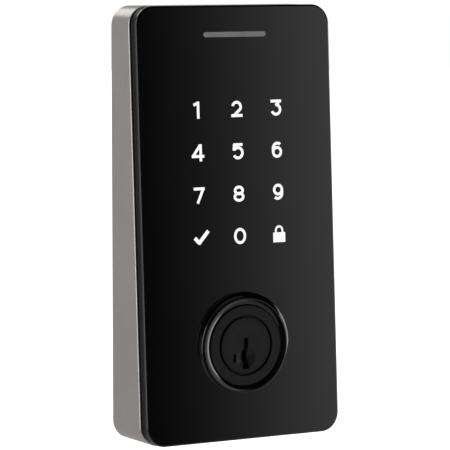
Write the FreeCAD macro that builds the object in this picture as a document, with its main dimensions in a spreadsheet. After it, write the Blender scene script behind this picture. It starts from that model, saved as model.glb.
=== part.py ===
import FreeCAD, Part
import math
import os
import Sketcher

# Keypad smart lock, outdoor unit.
# Door frame: origin on the door face at the key cylinder axis, +X right as seen
# from outdoors, +Y into the door, +Z up. The front panel leans back by
# tilt_angle, so the sub-parts behind it are drawn in a panel frame: origin at
# the panel centre, local Z up the panel, local Y straight in through it.

Vector = FreeCAD.Vector
doc = FreeCAD.newDocument("KeypadSmartLock")
sheet = doc.addObject("Spreadsheet::Sheet", "Sizes")

SIZES = {
    # front panel and shell
    "panel_width": 69.5,
    "panel_length": 136.0,
    "tilt_angle": 3.05,
    "centre_depth": 19.4,
    "centre_rise": 38.1,
    "corner_radius": 6.2,
    "cover_depth": 4.6,
    "lens_thick": 1.2,
    "shell_wall": 2.4,
    "deck_thick": 2.0,
    "seam_bevel": 0.45,
    "seam_gap": 1.1,
    "seam_inset": 0.55,
    "seal_inset": 2.6,
    "lens_edge": 0.6,
    "assembly_gap": 0.1,
    # keypad
    "pitch_across": 14.25,
    "pitch_down": 13.22,
    "row_top": 35.6,
    "legend_height": 5.3,
    "legend_stroke": 0.9,
    "legend_inlay": 0.3,
    "mark_rise": 58.8,
    "mark_length": 22.4,
    "mark_height": 1.6,
    "window_radius": 3.2,
    # key cylinder
    "face_proud": 1.9,
    "barrel_radius": 12.6,
    "flange_wide": 2.0,
    "barrel_tail": 11.5,
    "plug_face_radius": 9.4,
    "plug_core_radius": 8.9,
    "plug_land_radius": 8.8,
    "land_deep": 0.8,
    "running_gap": 0.05,
    "plug_flange_thick": 1.5,
    "ring_shoulder_wide": 1.6,
    "ring_crest_wide": 2.3,
    "ring_waist_wide": 2.55,
    "ring_foot_wide": 4.0,
    "ring_lip_drop": 0.7,
    "ring_gap": 0.2,
    "keyway_top": 2.3,
    "keyway_bottom": 7.4,
    "keyway_upper": 1.5,
    "keyway_lower": 2.1,
    "dish_radius": 3.45,
    "dish_drop": 3.7,
    "dish_depth": 1.2,
    "tool_slot_width": 0.9,
    "tool_slot_tall": 2.6,
    # pins
    "pin_first": 6.3,
    "pin_pitch": 3.81,
    "pin_collar": 1.25,
    "pin_shank": 0.6,
    "pin_play": 0.1,
    "pin_travel": 2.4,
    "chamber_floor": 2.8,
    "collar_tall": 1.6,
    "shank_long": 4.0,
    "strip_floor": 8.0,
    "spring_wire": 0.24,
    # tail
    "clip_radius": 10.3,
    "hub_radius": 6.5,
    "blade_length": 52.0,
    "blade_width": 7.0,
    "blade_thick": 2.2,
    "lost_motion": 90.0,
    # fixing
    "plate_thick": 1.2,
    "plate_recess": 0.1,
    "post_spread": 19.0,
    "post_radius": 3.2,
    "post_reach": 6.0,
    "post_thread": 2.1,
    "post_thread_deep": 14.0,
    "cable_rise": 21.0,
    "cable_radius": 4.8,
    "screw_shank": 1.0,
    "screw_head": 1.9,
    "cover_screw_side": 22.0,
    "cover_screw_top": 62.5,
    "cover_screw_low": 60.0,
    "board_screw_side": 23.0,
    "plate_screw_side": 28.6,
    "plate_screw_inset": 7.5,
    # electronics
    "sensor_width": 60.0,
    "sensor_length": 74.0,
    "sensor_rise": 21.0,
    "sensor_thick": 1.0,
    "board_width": 52.0,
    "board_length": 58.0,
    "board_rise": 27.0,
    "board_thick": 1.6,
    "standoff_tall": 1.5,
}
for row, (alias, number) in enumerate(SIZES.items(), start=1):
    sheet.set(f"A{row}", str(number))
    sheet.setAlias(f"A{row}", alias)
doc.recompute()


def full(expression):
    """Prefix every size name in an expression with the sheet's name."""
    words = []
    word = ""
    for letter in expression + " ":
        if letter.isalnum() or letter == "_":
            word += letter
            continue
        words.append("Sizes." + word if word in SIZES else word)
        words.append(letter)
        word = ""
    return "".join(words).strip()


def value(expression):
    return float(sheet.evalExpression(expression))


# Derived lines used by several sub-parts
PANEL_AT_AXIS = "(centre_depth + centre_rise * tan(tilt_angle))"
FACE_DEPTH = f"({PANEL_AT_AXIS} + face_proud)"
SEAM_AT_AXIS = f"({PANEL_AT_AXIS} - cover_depth / cos(tilt_angle))"
SHELL_MID = "(centre_rise - cover_depth * sin(tilt_angle))"
SHELL_LENGTH = "(panel_length * cos(tilt_angle))"
PLATE_FRONT = "(plate_thick + plate_recess)"
DECK_REAR = "(cover_depth + deck_thick)"
BOARD_FRONT = f"({DECK_REAR} + standoff_tall)"
BOARD_REAR = f"({BOARD_FRONT} + board_thick)"
SENSOR_FRONT = "(lens_thick + assembly_gap)"
SENSOR_REAR = f"({SENSOR_FRONT} + sensor_thick)"
AXIS_ON_PANEL = "(-centre_rise / cos(tilt_angle))"
RING_SHOULDER = "(barrel_radius + ring_shoulder_wide)"
RING_CREST = "(barrel_radius + ring_crest_wide)"
RING_WAIST = "(barrel_radius + ring_waist_wide)"
RING_FOOT = "(barrel_radius + ring_foot_wide)"
BARREL_FLANGE = "(barrel_radius + flange_wide)"


def move_by(item, place, panel=False):
    """Bind an item's Placement to expressions, in the door or the panel frame."""
    across, inward, upward = place
    if panel:
        item.Placement = FreeCAD.Placement(
            Vector(), FreeCAD.Rotation(Vector(-1, 0, 0), SIZES["tilt_angle"])
        )
        item.setExpression("Placement.Rotation.Angle", full("tilt_angle"))
        lean = f"({inward}) * cos(tilt_angle) + ({upward}) * sin(tilt_angle)"
        lift = f"({upward}) * cos(tilt_angle) - ({inward}) * sin(tilt_angle)"
        inward = f"{lean} - centre_depth"
        upward = f"{lift} + centre_rise"
    item.setExpression("Placement.Base.x", full(across))
    item.setExpression("Placement.Base.y", full(inward))
    item.setExpression("Placement.Base.z", full(upward))


nodes = []


def keep(item, name):
    """Mark a document object as a sub-part that is exported."""
    item.Label = name
    nodes.append(item)
    return item


def new_body(name, panel=False, place=("0", "0", "0")):
    item = doc.addObject("PartDesign::Body", name + "_body")
    item.AllowCompound = True
    move_by(item, place, panel)
    return keep(item, name)


def new_sketch(body, plane="XZ", lift="0", turn="0"):
    """A sketch on an origin plane, lifted along its normal and turned about local X."""
    sketch = body.newObject("Sketcher::SketchObject", "Sketch")
    support = next(f for f in body.Origin.OriginFeatures if f.Role == f"{plane}_Plane")
    sketch.AttachmentSupport = [(support, "")]
    sketch.MapMode = "FlatFace"
    sketch.AttachmentOffset = FreeCAD.Placement(
        Vector(0, 0, value(lift)), FreeCAD.Rotation(Vector(-1, 0, 0), max(value(turn), 1e-9))
    )
    sketch.setExpression("AttachmentOffset.Base.z", full(lift))
    if turn != "0":
        sketch.setExpression("AttachmentOffset.Rotation.Angle", full(turn))
    return sketch


def fix_point(sketch, element, corner, across, upward):
    """Pin one point of the sketch at two expressions from its origin."""
    for kind, expression in (("DistanceX", across), ("DistanceY", upward)):
        index = sketch.addConstraint(
            Sketcher.Constraint(kind, -1, 1, element, corner, value(expression))
        )
        sketch.setExpression(f"Constraints[{index}]", full(expression))


def draw_circle(sketch, across, upward, radius):
    centre = Vector(value(across), value(upward), 0)
    element = sketch.addGeometry(Part.Circle(centre, Vector(0, 0, 1), value(radius)))
    index = sketch.addConstraint(Sketcher.Constraint("Radius", element, value(radius)))
    sketch.setExpression(f"Constraints[{index}]", full(radius))
    fix_point(sketch, element, 3, across, upward)


def draw_outline(sketch, points):
    """A closed outline of straight lines through points given as expressions."""
    spots = [Vector(value(x), value(y), 0) for x, y in points]
    first = None
    for number, spot in enumerate(spots):
        following = spots[(number + 1) % len(spots)]
        element = sketch.addGeometry(Part.LineSegment(spot, following))
        first = element if first is None else first
    for number, point in enumerate(points):
        before = first + (number - 1) % len(points)
        sketch.addConstraint(Sketcher.Constraint("Coincident", before, 2, first + number, 1))
        fix_point(sketch, first + number, 1, *point)


def draw_box(sketch, wide, tall, across="0", upward="0"):
    left, right = f"{across} - ({wide}) / 2", f"{across} + ({wide}) / 2"
    low, high = f"{upward} - ({tall}) / 2", f"{upward} + ({tall}) / 2"
    draw_outline(sketch, [(left, low), (right, low), (right, high), (left, high)])


def draw_rounded_box(sketch, wide, tall, radius, upward="0"):
    """A rectangle with four equal tangent corner arcs, centred on X = 0."""
    half, rise, soft, mid = value(wide) / 2, value(tall) / 2, value(radius), value(upward)
    corners = [(1, 1, 0), (-1, 1, 90), (-1, -1, 180), (1, -1, 270)]
    arcs = []
    for side, level, start in corners:
        centre = Vector(side * (half - soft), mid + level * (rise - soft), 0)
        circle = Part.Circle(centre, Vector(0, 0, 1), soft)
        begin, end = math.radians(start), math.radians(start + 90)
        arcs.append(sketch.addGeometry(Part.ArcOfCircle(circle, begin, end)))
    for number, arc in enumerate(arcs):
        following = arcs[(number + 1) % 4]
        leave = sketch.getPoint(arc, 2)
        arrive = sketch.getPoint(following, 1)
        line = sketch.addGeometry(Part.LineSegment(leave, arrive))
        sketch.addConstraint(Sketcher.Constraint("Tangent", arc, 2, line, 1))
        sketch.addConstraint(Sketcher.Constraint("Tangent", line, 2, following, 1))
        straight = "Horizontal" if number % 2 == 0 else "Vertical"
        sketch.addConstraint(Sketcher.Constraint(straight, line))
        if number:
            sketch.addConstraint(Sketcher.Constraint("Equal", arcs[0], arc))
    index = sketch.addConstraint(Sketcher.Constraint("Radius", arcs[0], soft))
    sketch.setExpression(f"Constraints[{index}]", full(radius))
    reach, height = f"({wide}) / 2 - ({radius})", f"({tall}) / 2 - ({radius})"
    fix_point(sketch, arcs[0], 3, reach, f"{upward} + {height}")
    fix_point(sketch, arcs[2], 3, f"-({reach})", f"{upward} - ({height})")


def extrude(body, kind, sketch, length, outward=True, through=False):
    """Pad or Pocket; outward follows the sketch normal, otherwise against it."""
    feature = body.newObject(f"PartDesign::{kind}", kind)
    feature.Profile = sketch
    if through:
        feature.Type = "ThroughAll"
    else:
        feature.Length = value(length)
        feature.setExpression("Length", full(length))
    feature.Reversed = outward if kind == "Pocket" else not outward
    sketch.Visibility = False
    return feature


def spin(body, kind, sketch, axis="V_Axis", angle="360"):
    """Revolution or Groove about one of the sketch's own axes."""
    feature = body.newObject(f"PartDesign::{kind}", kind)
    feature.Profile = sketch
    feature.ReferenceAxis = (sketch, [axis])
    feature.Midplane = angle != "360"
    feature.Angle = value(angle)
    feature.setExpression("Angle", full(angle))
    return feature


def soften(body, kind, size, chooses):
    """Fillet or Chamfer of the tip's edges for which chooses(edge) is true."""
    doc.recompute()
    base = body.Tip
    names = [f"Edge{n}" for n, e in enumerate(base.Shape.Edges, start=1) if chooses(e)]
    feature = body.newObject(f"PartDesign::{kind}", kind)
    feature.Base = (base, names)
    setting = "Radius" if kind == "Fillet" else "Size"
    setattr(feature, setting, value(size))
    feature.setExpression(setting, full(size))
    return feature


def flat_at(edge, level):
    """True for an edge lying in the plane Y = level."""
    return abs(edge.BoundBox.YMin - level) < 1e-3 and edge.BoundBox.YLength < 1e-3


def repeat(body, feature, steps):
    """Repeat a feature along sketch axes; steps are (axis, length, count, backwards)."""
    sketch = feature.Profile[0]
    whole = body.newObject("PartDesign::MultiTransform", "Grid")
    whole.Originals = [feature]
    lines = []
    for axis, length, count, backwards in steps:
        line = doc.addObject("PartDesign::LinearPattern", "Line")
        body.addObject(line)
        line.Direction = (sketch, [axis])
        line.Reversed = backwards
        line.Length = value(length)
        line.setExpression("Length", full(length))
        line.Occurrences = count
        lines.append(line)
    whole.Transformations = lines
    body.Tip = whole
    return whole


KEY_STEPS = (("H_Axis", "2 * pitch_across", 3, False), ("V_Axis", "3 * pitch_down", 4, True))


def key_grid(body, kind, radius, lift, length, outward):
    """One round feature behind every key of the pad."""
    sketch = new_sketch(body, lift=lift)
    draw_circle(sketch, "-pitch_across", "row_top", radius)
    feature = extrude(body, kind, sketch, length, outward)
    repeat(body, feature, KEY_STEPS)


def four_places(sketch, side, high, low, radius):
    for across in (f"-{side}", side):
        draw_circle(sketch, across, high, radius)
        draw_circle(sketch, across, low, radius)


COVER_SCREWS = ("cover_screw_side", "cover_screw_top", "-cover_screw_low")
BOARD_SCREW_HIGH = "board_rise + board_length / 2 - 3"
BOARD_SCREW_LOW = "board_rise - board_length / 2 + 3"
BOARD_SCREWS = ("board_screw_side", BOARD_SCREW_HIGH, BOARD_SCREW_LOW)
PLATE_SCREW_HIGH = f"{SHELL_MID} + {SHELL_LENGTH} / 2 - plate_screw_inset"
PLATE_SCREW_LOW = f"{SHELL_MID} - {SHELL_LENGTH} / 2 + plate_screw_inset"
PLATE_SCREWS = ("plate_screw_side", PLATE_SCREW_HIGH, PLATE_SCREW_LOW)
LINK_RISE = "(row_top + 10.1)"
HEAD_SEAT = "(plate_recess + 0.75)"


def tilted(body, behind):
    """A sketch in the door frame, parallel to the panel and this far behind it."""
    lift = f"{PANEL_AT_AXIS} - ({behind}) / cos(tilt_angle)"
    return new_sketch(body, lift=lift, turn="tilt_angle")


def on_panel(height, behind):
    """Height on a tilted() sketch of a point given in the panel frame."""
    return f"{height} - {AXIS_ON_PANEL} - ({behind}) * tan(tilt_angle)"


def panel_four(sketch, places, behind, radius):
    """Four circles on a tilted() sketch at places given in the panel frame."""
    side, high, low = places
    four_places(sketch, side, on_panel(high, behind), on_panel(low, behind), radius)


def make_shell():
    body = new_body("housing_shell")
    sketch = new_sketch(body)
    draw_rounded_box(sketch, "panel_width", SHELL_LENGTH, "corner_radius", SHELL_MID)
    extrude(body, "Pad", sketch, "2 * centre_depth")
    sketch = new_sketch(body)
    inner = "corner_radius - shell_wall"
    inner_wide, inner_tall = "panel_width - 2 * shell_wall", f"{SHELL_LENGTH} - 2 * shell_wall"
    draw_rounded_box(sketch, inner_wide, inner_tall, inner, SHELL_MID)
    extrude(body, "Pocket", sketch, "0", through=True)
    sketch = tilted(body, "cover_depth")
    draw_rounded_box(
        sketch, "panel_width - shell_wall", "panel_length - shell_wall",
        "corner_radius - shell_wall / 2", on_panel("0", "cover_depth"),
    )
    extrude(body, "Pad", sketch, "deck_thick", outward=False)
    # bosses: barrel tube, two post sockets, four back plate pillars
    seat = f"{PLATE_FRONT} + 2"
    sketch = new_sketch(body, lift=seat)
    draw_circle(sketch, "0", "0", "barrel_radius + 2.5")
    extrude(body, "Pad", sketch, f"{SEAM_AT_AXIS} - 0.9 - ({seat})")
    sketch = new_sketch(body, lift="9")
    draw_circle(sketch, "-post_spread", "0", "post_radius + 1.6")
    draw_circle(sketch, "post_spread", "0", "post_radius + 1.6")
    extrude(body, "Pad", sketch, f"{SEAM_AT_AXIS} - 10")
    for rise, share in ((PLATE_SCREW_HIGH, "-0.5"), (PLATE_SCREW_LOW, "0.35")):
        sketch = new_sketch(body, lift=PLATE_FRONT)
        for across in ("-plate_screw_side", "plate_screw_side"):
            draw_circle(sketch, across, rise, "3.3")
        reach = f"centre_depth + {share} * panel_length * tan(tilt_angle) - cover_depth"
        extrude(body, "Pad", sketch, f"{reach} - {PLATE_FRONT}")
    sketch = tilted(body, DECK_REAR)
    panel_four(sketch, BOARD_SCREWS, DECK_REAR, "2.4")
    extrude(body, "Pad", sketch, "standoff_tall", outward=False)
    # everything in front of the seam plane goes
    sketch = tilted(body, "cover_depth")
    draw_box(sketch, "2 * panel_width", "2 * panel_length", "0", on_panel("0", "0"))
    extrude(body, "Pocket", sketch, "centre_depth + 10", outward=True)
    # barrel bore, post sockets, pilot holes, window for the board link
    sketch = new_sketch(body)
    draw_circle(sketch, "0", "0", "barrel_radius + assembly_gap")
    extrude(body, "Pocket", sketch, "0", through=True)
    sketch = new_sketch(body)
    draw_circle(sketch, "-post_spread", "0", "post_radius + running_gap")
    draw_circle(sketch, "post_spread", "0", "post_radius + running_gap")
    extrude(body, "Pocket", sketch, "14")
    sketch = new_sketch(body)
    four_places(sketch, *PLATE_SCREWS, "screw_shank + 0.02")
    extrude(body, "Pocket", sketch, "8")
    sketch = tilted(body, BOARD_FRONT)
    panel_four(sketch, BOARD_SCREWS, BOARD_FRONT, "screw_shank + 0.02")
    extrude(body, "Pocket", sketch, "standoff_tall + deck_thick - 0.5")
    sketch = tilted(body, DECK_REAR)
    panel_four(sketch, COVER_SCREWS, DECK_REAR, "screw_shank + 0.15")
    draw_box(sketch, "15", "6", "0", on_panel(LINK_RISE, DECK_REAR))
    extrude(body, "Pocket", sketch, "deck_thick + 1")
    # groove for the weather gasket in the rear rim
    sketch = new_sketch(body)
    for inset in ("0.6", "1.8"):
        draw_rounded_box(
            sketch, f"panel_width - 2 * {inset}", f"{SHELL_LENGTH} - 2 * {inset}",
            f"corner_radius - {inset}", SHELL_MID,
        )
    extrude(body, "Pocket", sketch, "0.8")
    # bright rounded edge of the front rim
    slope = math.tan(math.radians(SIZES["tilt_angle"]))
    seam = -value(SEAM_AT_AXIS)

    def on_rim(edge):
        middle = edge.CenterOfMass
        ends = [vertex.Point for vertex in edge.Vertexes]
        level = all(abs(point.y - seam - point.z * slope) < 0.02 for point in ends)
        wide = abs(middle.x) > value("panel_width") / 2 - 4
        tall = abs(middle.z - value(SHELL_MID)) > value(SHELL_LENGTH) / 2 - 4
        return level and len(ends) == 2 and (wide or tall) and edge.Length > 5

    soften(body, "Fillet", "seam_bevel", on_rim)


def make_cover():
    body = new_body("front_cover", panel=True)
    trim = "2 * assembly_gap"
    sketch = new_sketch(body, lift="-lens_thick")
    draw_rounded_box(sketch, f"panel_width - {trim}", f"panel_length - {trim}", "corner_radius")
    extrude(body, "Pad", sketch, "cover_depth - lens_thick - seam_gap", outward=False)
    sketch = new_sketch(body, lift="seam_gap - cover_depth")
    draw_rounded_box(
        sketch, "panel_width - 2 * seal_inset", "panel_length - 2 * seal_inset",
        "corner_radius - seal_inset",
    )
    extrude(body, "Pad", sketch, "seam_gap - 0.05", outward=False)
    sketch = new_sketch(body, lift="-lens_thick")
    draw_rounded_box(
        sketch, "sensor_width + 0.6", "sensor_length + 0.6", "2.3", "sensor_rise"
    )
    extrude(body, "Pocket", sketch, "sensor_thick + 0.3", outward=False)
    sketch = new_sketch(body, lift="-lens_thick")
    draw_circle(sketch, "0", AXIS_ON_PANEL, f"{RING_SHOULDER} + 0.2")
    extrude(body, "Pocket", sketch, "0", outward=False, through=True)
    key_grid(body, "Pocket", "window_radius + 0.6", "-lens_thick", "cover_depth", False)
    sketch = new_sketch(body, lift="-lens_thick")
    draw_box(sketch, "15", "6", "0", LINK_RISE)
    extrude(body, "Pocket", sketch, "0", outward=False, through=True)
    sketch = new_sketch(body, lift="-cover_depth")
    four_places(sketch, *COVER_SCREWS, "screw_shank + 0.02")
    extrude(body, "Pocket", sketch, "2.3", outward=True)

    def outer(edge, level):
        middle = edge.CenterOfMass
        flat = abs(middle.y - level) < 1e-4
        wide = abs(middle.x) > value("panel_width") / 2 - 2.4
        tall = abs(middle.z) > value("panel_length") / 2 - 2.4
        return flat and (wide or tall) and edge.Length > 5

    for level in (value("cover_depth - seam_gap"), value("lens_thick")):
        soften(body, "Chamfer", "0.2", lambda edge: outer(edge, level))


def make_seam_seal():
    """Soft seal squeezed between the shell rim and the cover, set back in the seam."""
    body = new_body("seam_seal", panel=True)
    sketch = new_sketch(body, lift="-cover_depth")
    for inset in ("seam_inset", "seal_inset - 0.1"):
        draw_rounded_box(
            sketch, f"panel_width - 2 * ({inset})", f"panel_length - 2 * ({inset})",
            f"corner_radius - ({inset})",
        )
    extrude(body, "Pad", sketch, "seam_gap")


def make_lens_blank():
    """The glass before the legends are cut into it; only the lens itself is exported."""
    body = doc.addObject("PartDesign::Body", "lens_blank")
    move_by(body, ("0", "0", "0"), panel=True)
    sketch = new_sketch(body)
    draw_rounded_box(
        sketch, "panel_width - 2 * assembly_gap", "panel_length - 2 * assembly_gap", "corner_radius"
    )
    extrude(body, "Pad", sketch, "lens_thick", outward=False)
    sketch = new_sketch(body)
    draw_circle(sketch, "0", AXIS_ON_PANEL, f"{RING_SHOULDER} + 0.2")
    extrude(body, "Pocket", sketch, "0", outward=False, through=True)

    def outer_rim(edge):
        middle = edge.CenterOfMass
        wide = abs(middle.x) > value("panel_width") / 2 - 5
        tall = abs(middle.z) > value("panel_length") / 2 - 5
        return abs(middle.y) < 1e-4 and (wide or tall)

    soften(body, "Fillet", "lens_edge", outer_rim)
    return body


# Key legends as pen strokes in millimetres for a 5.3 mm tall figure: bars run
# between two points, bows are arcs (centre, radius, from, to in degrees), ovals
# are closed rings (centre, half width, half height), slabs are filled boxes.
LEGENDS = {
    "1": [("bar", 0.45, -2.65, 0.45, 2.65), ("bar", -1.15, 1.55, 0.5, 2.2)],
    "2": [
        ("bow", 0, 0.62, 1.45, -40, 168),
        ("bar", 1.25, -0.1, -1.35, -2.3),
        ("bar", -2.0, -2.075, 2.05, -2.075),
    ],
    "3": [
        ("bar", -1.9, 2.075, 1.95, 2.075),
        ("bar", 1.45, 2.1, -0.1, 0.7),
        ("bow", 0, -0.57, 1.5, -160, 95),
    ],
    "4": [
        ("bar", 0.95, -2.65, 0.95, 2.65),
        ("bar", -2.25, -1.1, 2.2, -1.1),
        ("bar", -1.85, -1.15, 0.75, 2.35),
    ],
    "5": [
        ("bar", -1.6, 2.075, 1.75, 2.075),
        ("bar", -1.25, 2.2, -1.4, 0.25),
        ("bow", 0.05, -0.47, 1.6, -152, 145),
    ],
    "6": [
        ("bow", 0, -0.68, 1.4, 0, 360),
        ("bow", 0.18, 0.47, 1.6, 50, 180),
        ("bar", -1.42, 0.48, -1.42, -0.7),
    ],
    "7": [("bar", -1.9, 2.075, 2.0, 2.075), ("bar", 1.55, 2.2, -0.6, -2.45)],
    "8": [("oval", 0, 1.02, 1.35, 1.05), ("oval", 0, -0.97, 1.5, 1.1)],
    "9": [
        ("bow", 0, 0.68, 1.4, 0, 360),
        ("bow", -0.18, -0.47, 1.6, 230, 360),
        ("bar", 1.42, -0.48, 1.42, 0.7),
    ],
    "check": [("bar", -1.95, 0.1, -0.25, -1.6), ("bar", -0.65, -1.75, 2.9, 2.15)],
    "0": [("oval", 0, 0, 1.73, 2.08)],
    "lock": [
        ("slab", -2.2, -2.65, 2.2, 0.45),
        ("bow", 0, 1.1, 1.2, 0, 180),
        ("bar", -1.2, 0.2, -1.2, 1.11),
        ("bar", 1.2, 0.2, 1.2, 1.11),
    ],
}
PEN_SCALE = {"lock": 0.75, "check": 1.35}


def oval_edge(across, upward, wide, tall):
    centre = Vector(across, 0, upward)
    ends = [Vector(across + wide, 0, upward), Vector(across, 0, upward + tall)]
    if tall > wide:
        ends.reverse()
    return Part.Ellipse(*ends, centre).toShape()


def pen_stroke(kind, numbers, pen):
    """The flat face of one stroke, drawn in the XZ plane."""
    if kind in ("bow", "oval"):
        across, upward = numbers[:2]
        rings = []
        for edge in (-pen / 2, pen / 2):
            if kind == "oval":
                wide, tall = numbers[2:]
                rings.append(oval_edge(across, upward, wide + edge, tall + edge))
            else:
                radius, begin, end = numbers[2:]
                centre, normal = Vector(across, 0, upward), Vector(0, -1, 0)
                rings.append(Part.makeCircle(radius + edge, centre, normal, begin, end))
        if kind == "oval" or end - begin >= 360:
            inner, outer = (Part.Face(Part.Wire(ring)) for ring in rings)
            return outer.cut(inner)
        return Part.makeRuledSurface(*rings)
    left, low, right, high = numbers
    if kind == "slab":
        spots = [(left, low), (right, low), (right, high), (left, high)]
    else:
        length = math.hypot(right - left, high - low)
        shift = pen / 2 / length
        over, up = -(high - low) * shift, (right - left) * shift
        spots = [
            (left - over, low - up), (right - over, high - up),
            (right + over, high + up), (left + over, low + up),
        ]
    wire = Part.makePolygon([Vector(x, 0, z) for x, z in spots + spots[:1]])
    return Part.Face(wire)


def make_legend(name, strokes, across, upward):
    pen = value("legend_stroke") * PEN_SCALE.get(name, 1.0)
    inlay = Vector(0, value("legend_inlay"), 0)
    solids = [pen_stroke(kind, numbers, pen).extrude(inlay) for kind, *numbers in strokes]
    shape = solids[0].multiFuse(solids[1:]) if len(solids) > 1 else solids[0]
    shape = shape.removeSplitter()
    scale = value("legend_height") / 5.3
    if abs(scale - 1) > 1e-9:
        grow = FreeCAD.Matrix(scale, 0, 0, 0, 0, 1, 0, 0, 0, 0, scale, 0, 0, 0, 0, 1)
        shape = shape.transformGeometry(grow)
    item = doc.addObject("Part::Feature", f"legend_{name}_item")
    item.Shape = shape
    move_by(item, (across, "0", upward), panel=True)
    return keep(item, f"key_legend_{name}")


def make_lens():
    blank = make_lens_blank()
    inlays = []
    for number, (name, strokes) in enumerate(LEGENDS.items()):
        across = f"{number % 3 - 1} * pitch_across"
        upward = f"row_top - {number // 3} * pitch_down"
        inlays.append(make_legend(name, strokes, across, upward))
    mark = new_body("top_mark", panel=True)
    sketch = new_sketch(mark)
    draw_rounded_box(sketch, "mark_length", "mark_height", "mark_height / 2 - 0.01", "mark_rise")
    extrude(mark, "Pad", sketch, "legend_inlay", outward=False)
    together = doc.addObject("Part::Compound", "Inlays")
    together.Links = inlays + [mark]
    lens = doc.addObject("Part::Cut", "LensCut")
    lens.Base = blank
    lens.Tool = together
    keep(lens, "touch_lens")


def turned(name, points, angle="360"):
    """A body turned about the cylinder axis from (radius, depth) points."""
    body = new_body(name)
    sketch = new_sketch(body, plane="XY")
    draw_outline(sketch, points)
    spin(body, "Revolution", sketch, angle=angle)
    return body


def make_ring():
    """Trim ring with a dished lip, its flared foot cut to lie flat on the leaning panel."""
    rear = f"-({SEAM_AT_AXIS} + 1.2)"
    below = f"-({PANEL_AT_AXIS} - 1.1)"
    waist = f"-({FACE_DEPTH} - 0.6 * face_proud)"
    bore = "barrel_radius + ring_gap"
    body = turned("trim_ring", [
        (bore, rear), (RING_SHOULDER, rear), (RING_SHOULDER, below),
        (RING_FOOT, below), (RING_FOOT, f"-{PANEL_AT_AXIS}"), (RING_WAIST, waist),
        (RING_CREST, f"-{FACE_DEPTH}"), (bore, f"-({FACE_DEPTH} - ring_lip_drop)"),
    ])
    sketch = tilted(body, "0")
    draw_circle(sketch, "0", "0", RING_SHOULDER)
    draw_circle(sketch, "0", "0", f"2 * {RING_FOOT}")
    extrude(body, "Pocket", sketch, "4", outward=False)


PLUG_BACK = f"({FACE_DEPTH} + running_gap)"
BARREL_END = "5"


def make_barrel():
    collar = f"-({FACE_DEPTH} - plug_flange_thick - 0.1)"
    flange = f"-({PLATE_FRONT} + 2)"
    seat = f"-({PLATE_FRONT} + 0.05)"
    core = "plug_core_radius + running_gap"
    mouth = "plug_face_radius + running_gap"
    body = turned("cylinder_body", [
        (mouth, f"-{FACE_DEPTH}"), ("barrel_radius", f"-{FACE_DEPTH}"),
        ("barrel_radius", flange), (BARREL_FLANGE, flange), (BARREL_FLANGE, seat),
        ("barrel_tail", seat), ("barrel_tail", BARREL_END), (core, BARREL_END),
        (core, collar), (mouth, collar),
    ])
    sketch = new_sketch(body, lift=f"{FACE_DEPTH} - 5")
    draw_box(sketch, "3", "1.8", "-plug_core_radius + 0.4", "0")
    extrude(body, "Pocket", sketch, "18", outward=False)
    face = -value(FACE_DEPTH)
    soften(body, "Chamfer", "0.2", lambda edge: flat_at(edge, face))


def pin_depth(number):
    return f"-({FACE_DEPTH} - pin_first - {number} * pin_pitch)"


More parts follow.
